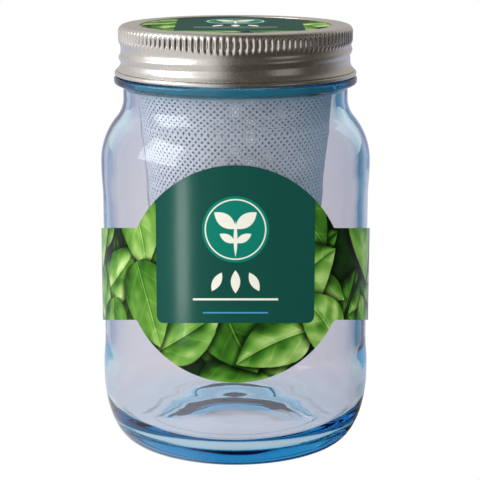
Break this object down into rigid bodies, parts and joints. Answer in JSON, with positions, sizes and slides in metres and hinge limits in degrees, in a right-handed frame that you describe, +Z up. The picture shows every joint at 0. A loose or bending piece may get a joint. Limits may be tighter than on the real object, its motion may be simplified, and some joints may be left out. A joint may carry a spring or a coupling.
{
  "type": "hydroponic jar planter",
  "caption": "Screw-top glass jar planter with a perforated basket hanging in its mouth, a felt wick into the water below, growing discs, seeds and a wrap-round front label.",
  "frame": {"origin": "middle of the foot ring, on the surface that the jar stands on", "axes": "+Z up along the jar's axis, -Y towards the front label, +X to the right of someone who faces the label"},
  "size_m": [0.0834, 0.0832, 0.1292],
  "materials": {
    "clear_glass": "gloss",
    "label_print": "satin",
    "basket_steel": "satin",
    "felt": "matt",
    "coir": "rough",
    "packet_paper": "matt",
    "seed": "satin",
    "seal_rubber": "matt",
    "lid_tinplate": "satin",
    "band_tinplate": "satin"
  },
  "bodies": {
    "jar": {"glass_jar": "clear_glass", "front_label": "label_print"},
    "basket": {"basket_rim": "basket_steel", "basket_wall": "basket_steel", "basket_seam": "basket_steel", "basket_base": "basket_steel", "basket_foot_ring": "basket_steel", "wick_strip": "felt", "coir_disc_lower": "coir", "coir_disc_upper": "coir", "seed_packet": "packet_paper", "seeds": "seed"},
    "seal": {"lid_seal": "seal_rubber"},
    "disc": {"lid_disc": "lid_tinplate", "lid_label": "label_print"},
    "band": {"screw_band": "band_tinplate"}
  },
  "joints": [
    {"name": "basket_lift", "type": "slide", "parent": "jar", "child": "basket", "axis": [0, 0, 1], "range_m": [0, 0.1118]},
    {"name": "stack_turn", "type": "hinge", "parent": "basket", "child": "seal", "pos_m": [0, 0, 0.127], "axis": [0, 0, 1], "range_deg": [0, 7920]},
    {"name": "lid_lift", "type": "slide", "parent": "seal", "child": "disc", "axis": [0, 0, 1], "range_m": [0, 0.061]},
    {"name": "band_turn", "type": "hinge", "parent": "disc", "child": "band", "pos_m": [0, 0, 0.127], "axis": [0, 0, 1], "range_deg": [0, 4320]}
  ],
  "couplings": [
    {"joint": "basket_lift", "follows": "stack_turn", "m_per_rad": 0.00080851},
    {"joint": "lid_lift", "follows": "band_turn", "m_per_rad": 0.00080851}
  ]
}
